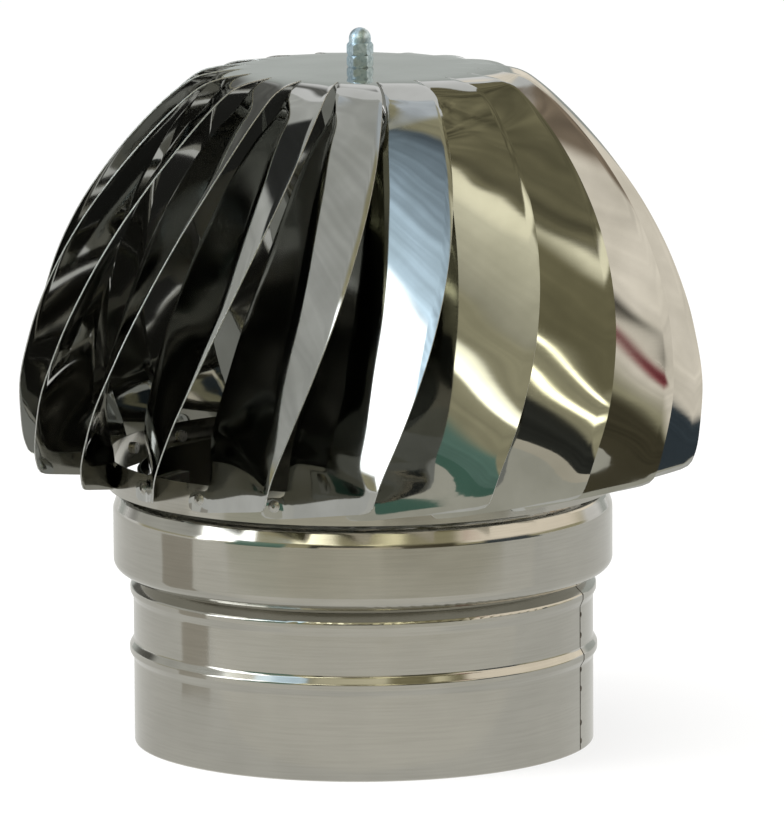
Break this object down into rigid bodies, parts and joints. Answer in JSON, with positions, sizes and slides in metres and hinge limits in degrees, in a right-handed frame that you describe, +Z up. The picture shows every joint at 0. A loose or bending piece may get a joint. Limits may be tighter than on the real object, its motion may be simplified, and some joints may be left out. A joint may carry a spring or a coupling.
{
  "type": "rotating chimney cowl",
  "caption": "Round flue collar with a wind-driven domed hood of folded, overlapping blades that spins on a bearing spindle.",
  "frame": {"origin": "centre of the collar's bottom rim, on the axis of rotation", "axes": "+Z up along the axis of rotation, -Y towards the front as stored; the lap seam is on the +X side"},
  "size_m": [0.2959, 0.2965, 0.311],
  "materials": {
    "mirror_sheet": "mirror-polished stainless sheet",
    "polished_sheet": "bright rolled stainless sheet, slightly satin",
    "bracket_steel": "plain stainless strip",
    "rivet_steel": "set blind rivets, plain",
    "turned_steel": "turned",
    "bearing_steel": "ground and polished",
    "cage_brass": "pressed",
    "spring_steel": "dark spring steel",
    "zinc_plate": "bright zinc plate, bluish"
  },
  "bodies": {
    "collar": {"flue_spigot": "polished_sheet", "shoulder_ring": "polished_sheet", "bearing_bridge": "bracket_steel", "bridge_rivets": "rivet_steel", "bearing_housing": "turned_steel", "lower_outer_race": "bearing_steel", "upper_outer_race": "bearing_steel", "lower_shields": "bearing_steel", "upper_shields": "bearing_steel", "lower_housing_clip": "spring_steel", "upper_housing_clip": "spring_steel"},
    "rotor": {"lower_inner_race": "bearing_steel", "upper_inner_race": "bearing_steel", "spindle_clip": "spring_steel", "spindle": "turned_steel", "spacer_sleeve": "turned_steel", "hub_washer": "zinc_plate", "crown_nut": "zinc_plate", "dome_nut": "zinc_plate", "vaned_hood": "mirror_sheet", "bottom_hoop": "polished_sheet", "hood_rivets": "rivet_steel"},
    "lower_ball_set": {"lower_balls": "bearing_steel", "lower_ball_cage": "cage_brass"},
    "upper_ball_set": {"upper_balls": "bearing_steel", "upper_ball_cage": "cage_brass"}
  },
  "joints": [
    {"name": "head_spin", "type": "hinge", "parent": "collar", "child": "rotor", "pos_m": [0, 0, 0.089], "axis": [0, 0, 1], "continuous": true},
    {"name": "lower_balls_orbit", "type": "hinge", "parent": "collar", "child": "lower_ball_set", "pos_m": [0, 0, 0.072], "axis": [0, 0, 1], "continuous": true},
    {"name": "upper_balls_orbit", "type": "hinge", "parent": "collar", "child": "upper_ball_set", "pos_m": [0, 0, 0.106], "axis": [0, 0, 1], "continuous": true}
  ],
  "couplings": [
    {"joint": "lower_balls_orbit", "follows": "head_spin", "ratio": 0.36772},
    {"joint": "upper_balls_orbit", "follows": "head_spin", "ratio": 0.36772}
  ]
}
